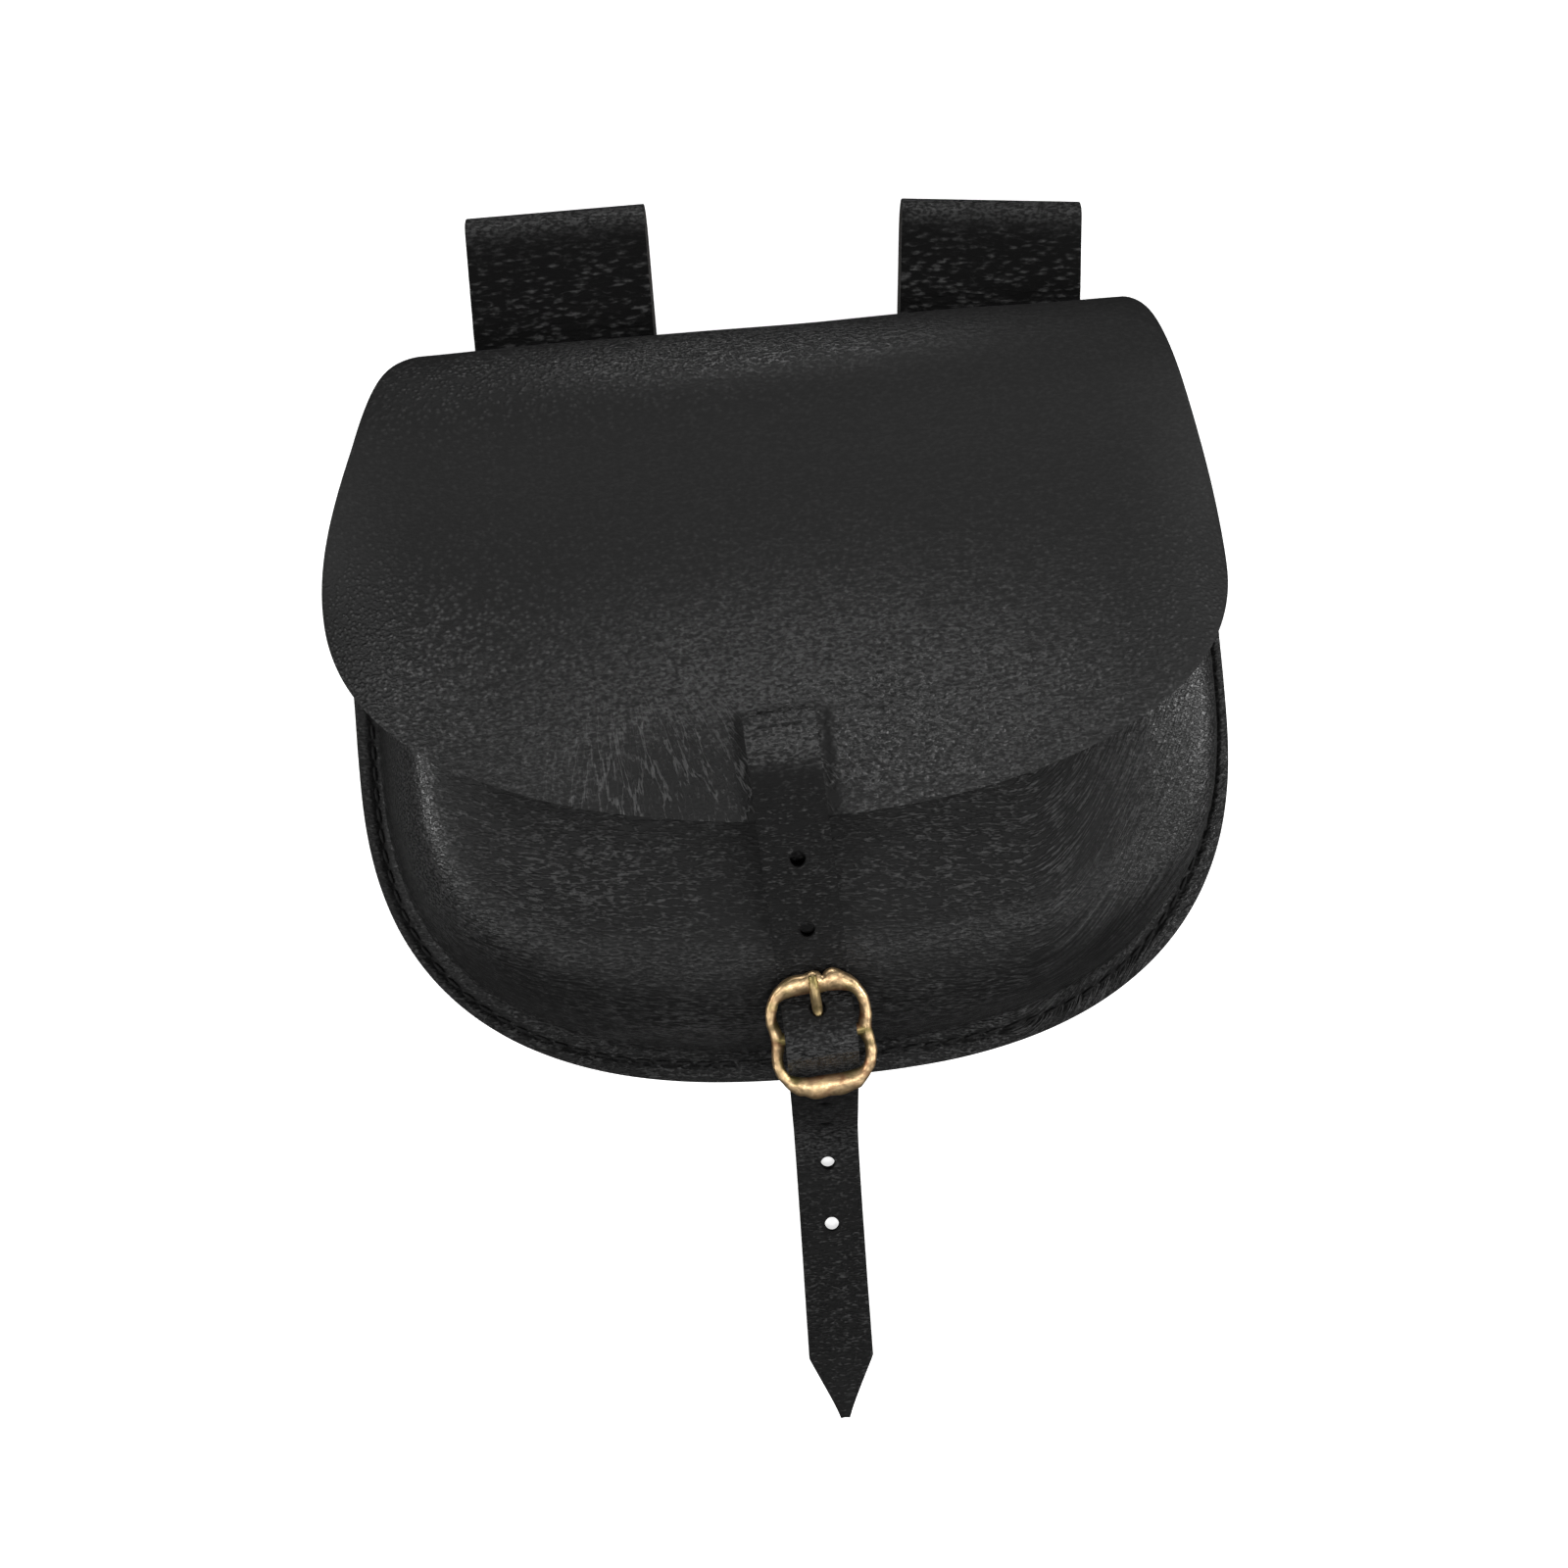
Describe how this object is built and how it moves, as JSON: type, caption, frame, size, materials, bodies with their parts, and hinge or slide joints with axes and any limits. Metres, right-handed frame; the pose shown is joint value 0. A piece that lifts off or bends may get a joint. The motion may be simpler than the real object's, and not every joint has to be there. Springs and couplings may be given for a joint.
{
  "type": "leather belt pouch",
  "caption": "Moulded leather belt pouch with a fold-over flap, rear belt loops and a strap closed through a cast brass double-loop buckle.",
  "frame": {"origin": "on the back's outer face, on the middle line, at the widest line of the body; the pouch lies on its back on z = 0", "axes": "+X to the wearer's left, as seen from the front to the right; +Y up the pouch towards its belt loops; +Z out of its front"},
  "size_m": [0.209, 0.2926, 0.0588],
  "materials": {
    "back_and_flap": "grained, satin",
    "front": "smooth, satin",
    "belt_loops": "creased, satin",
    "strap": "grained, satin",
    "buckle": "cast, worn"
  },
  "bodies": {
    "root": {"back_and_flap": "back_and_flap", "front": "front", "belt_loop_left": "belt_loops", "belt_loop_right": "belt_loops", "strap": "strap", "buckle_frame": "buckle", "buckle_prong": "buckle", "chape": "strap"}
  },
  "joints": []
}
